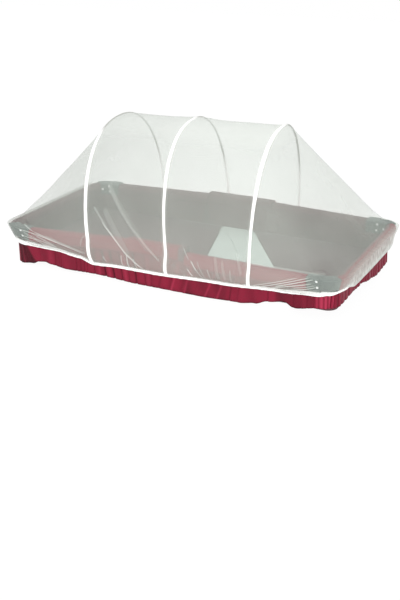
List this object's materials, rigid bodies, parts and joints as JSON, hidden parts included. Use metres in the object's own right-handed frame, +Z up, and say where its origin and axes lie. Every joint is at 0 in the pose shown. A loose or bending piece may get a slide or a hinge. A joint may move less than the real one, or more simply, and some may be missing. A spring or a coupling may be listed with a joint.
{
  "type": "playpen mosquito net on a playpen top",
  "caption": "Sheer white net tunnel on arched hoops with sloping ends and an elastic hem, fitted over the padded rail, corner brackets, skirt and mat of a rectangular playpen top.",
  "frame": {"origin": "centre of the footprint, on the surface that the mat rests on", "axes": "+X along the long side, -Y towards the front side, +Z up"},
  "size_m": [1.2729, 0.643, 0.5135],
  "materials": {
    "net": "sheer fine white net",
    "tape": "white woven tape",
    "hem": "white gathered elastic",
    "padding": "maroon woven cloth over padding",
    "skirt": "maroon woven cloth, creased",
    "plastic": "grey moulded plastic, satin",
    "rivet": "white cap",
    "liner": "dark grey woven cloth",
    "mat": "dark grey cloth over a board",
    "mat_pale": "pale cloth over a board"
  },
  "bodies": {
    "root": {"bracket_back_left": "plastic", "bracket_back_right": "plastic", "bracket_front_left": "plastic", "bracket_front_right": "plastic", "hem_elastic": "hem", "latch_cover_back": "padding", "latch_cover_front": "padding", "liner_back": "liner", "liner_front": "liner", "liner_left": "liner", "liner_right": "liner", "mat_left": "mat", "mat_middle": "mat_pale", "mat_right": "mat", "net_gore_left": "net", "net_gore_right": "net", "net_panel_left": "net", "net_panel_right": "net", "rail_back_left": "padding", "rail_back_right": "padding", "rail_front_left": "padding", "rail_front_right": "padding", "rail_left": "padding", "rail_right": "padding", "rivet_back_left_1": "rivet", "rivet_back_left_2": "rivet", "rivet_back_left_3": "rivet", "rivet_back_left_4": "rivet", "rivet_back_left_5": "rivet", "rivet_back_right_1": "rivet", "rivet_back_right_2": "rivet", "rivet_back_right_3": "rivet", "rivet_back_right_4": "rivet", "rivet_back_right_5": "rivet", "rivet_front_left_1": "rivet", "rivet_front_left_2": "rivet", "rivet_front_left_3": "rivet", "rivet_front_left_4": "rivet", "rivet_front_left_5": "rivet", "rivet_front_right_1": "rivet", "rivet_front_right_2": "rivet", "rivet_front_right_3": "rivet", "rivet_front_right_4": "rivet", "rivet_front_right_5": "rivet", "skirt_back": "skirt", "skirt_front": "skirt", "skirt_left": "skirt", "skirt_right": "skirt", "sleeve_left": "tape", "sleeve_middle": "tape", "sleeve_right": "tape"}
  },
  "joints": []
}
